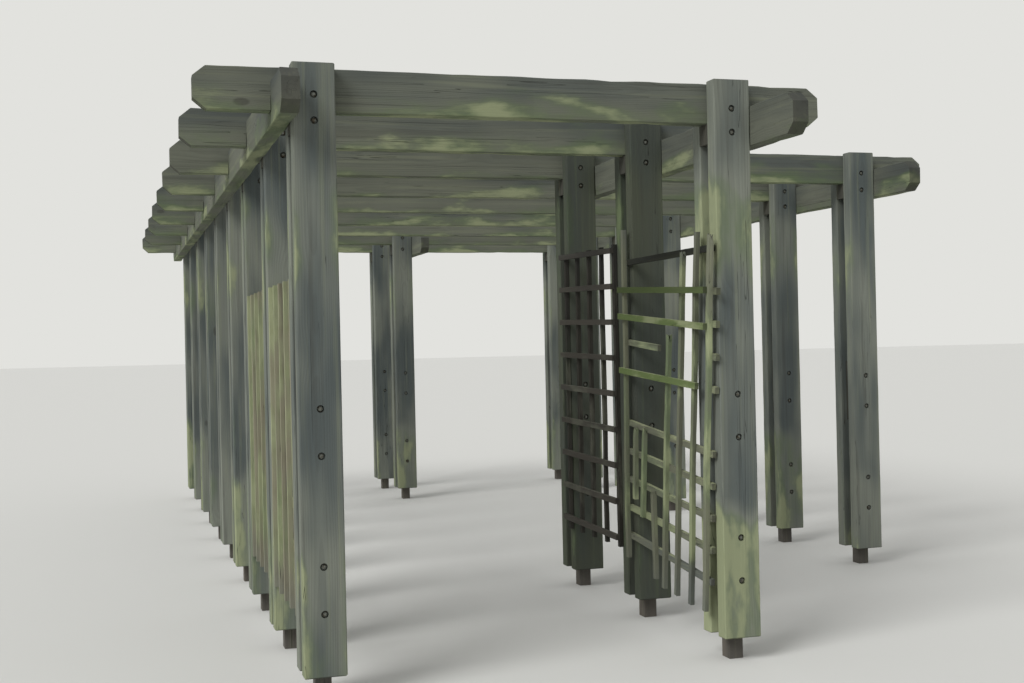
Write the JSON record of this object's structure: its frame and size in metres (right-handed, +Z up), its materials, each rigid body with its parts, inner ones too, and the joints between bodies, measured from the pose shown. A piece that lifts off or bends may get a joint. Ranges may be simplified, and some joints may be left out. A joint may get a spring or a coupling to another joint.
{
  "type": "wooden garden pergola",
  "caption": "Long wooden garden pergola of paired-board posts and bolted cross beams, narrow with trellis at the entrance and wider behind.",
  "frame": {"origin": "on the ground under the middle of the pergola's box", "axes": "+X across the walk towards the outer row, +Y along the walk from the trellised entrance to the far end, +Z up"},
  "size_m": [4.66, 8.795, 2.58],
  "materials": {
    "post_boards": "weathered softwood, grey with green algae",
    "beams": "weathered softwood, green on top",
    "blocks": "dark weathered softwood",
    "ground_posts": "damp dark softwood",
    "green_battens": "rough sawn, green with algae",
    "brown_battens": "rough sawn, brown stain",
    "bolts": "dull galvanised steel, gone dark"
  },
  "bodies": {
    "root": {"left_post_1": "post_boards", "left_post_2": "post_boards", "left_post_3": "post_boards", "left_post_4": "post_boards", "left_post_5": "post_boards", "left_post_6": "post_boards", "left_post_7": "post_boards", "left_post_8": "post_boards", "left_post_9": "post_boards", "middle_post_1": "post_boards", "middle_post_2": "post_boards", "middle_post_3": "post_boards", "middle_post_8": "post_boards", "middle_post_9": "post_boards", "outer_post_3": "post_boards", "outer_post_4": "post_boards", "outer_post_5": "post_boards", "outer_post_6": "post_boards", "outer_post_7": "post_boards", "outer_post_8": "post_boards", "outer_post_9": "post_boards", "head_blocks": "blocks", "middle_blocks": "blocks", "ground_posts": "ground_posts", "cross_beam_1": "beams", "cross_beam_2": "beams", "cross_beam_3": "beams", "cross_beam_4": "beams", "cross_beam_5": "beams", "cross_beam_6": "beams", "cross_beam_7": "beams", "cross_beam_8": "beams", "cross_beam_9": "beams", "left_long_beam": "beams", "middle_long_beam": "beams", "far_middle_long_beam": "beams", "outer_long_beam": "beams", "middle_trellis_1": "green_battens", "middle_trellis_2": "brown_battens", "left_trellis_1": "brown_battens", "left_trellis_2": "brown_battens"}
  },
  "joints": []
}
